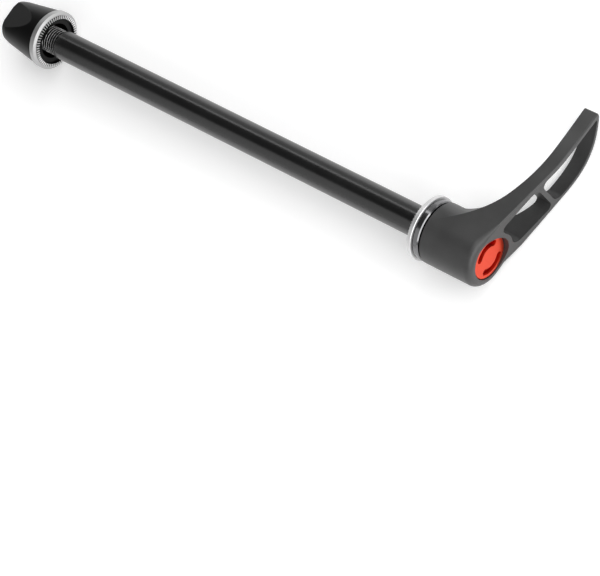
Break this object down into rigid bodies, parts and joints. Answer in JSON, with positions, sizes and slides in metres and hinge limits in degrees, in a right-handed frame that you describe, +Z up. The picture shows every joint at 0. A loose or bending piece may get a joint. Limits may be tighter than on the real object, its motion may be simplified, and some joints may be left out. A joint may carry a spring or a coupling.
{
  "type": "rear thru axle",
  "caption": "Bicycle rear thru axle: slim axle bolt with a windowed ratchet lever, toothed clamp rings and a conical nut on its threaded end.",
  "frame": {"origin": "on the axle's centre line, at the tooth tips of the lever side clamp ring", "axes": "+X along the axle from the nut to the lever, +Z up as the part lies at rest, +Y towards the side on which the lever lies"},
  "size_m": [0.2134, 0.0632, 0.0212],
  "materials": {
    "black_axle": "satin black anodised",
    "polished_steel": "polished steel",
    "polymer": "black acetal",
    "red_anodised": "red anodised",
    "bright_steel": "satin bright steel",
    "black_lever": "fine blasted black anodised forging",
    "dark_steel": "hardened steel",
    "spring_steel": "spring steel wire",
    "black_nut": "black anodised"
  },
  "bodies": {
    "axle": {"axle_bolt": "black_axle", "drive_head": "polished_steel", "slide_ring": "polymer", "retaining_cap": "red_anodised"},
    "spring": {"return_spring": "spring_steel"},
    "lever": {"lever": "black_lever", "ratchet_bush": "dark_steel"},
    "clamp_washer": {"lever_clamp_ring": "bright_steel"},
    "nut": {"nut_body": "black_nut", "nut_clamp_ring": "bright_steel"}
  },
  "joints": [
    {"name": "lever_index", "type": "hinge", "parent": "axle", "child": "spring", "pos_m": [0.01, 0, 0], "axis": [1, 0, 0], "continuous": true},
    {"name": "lever_pull", "type": "slide", "parent": "spring", "child": "lever", "axis": [1, 0, 0], "range_m": [0, 0.0045], "stiffness_N_per_m": 1200, "springref_m": -0.004, "deforming": ["return_spring"]},
    {"name": "screw_turn", "type": "hinge", "parent": "axle", "child": "clamp_washer", "pos_m": [0.001, 0, 0], "axis": [1, 0, 0], "range_deg": [-1800, 2160]},
    {"name": "nut_travel", "type": "slide", "parent": "clamp_washer", "child": "nut", "axis": [1, 0, 0], "range_m": [-0.005, 0.006]}
  ],
  "couplings": [
    {"joint": "nut_travel", "follows": "screw_turn", "m_per_rad": 0.00015915}
  ]
}
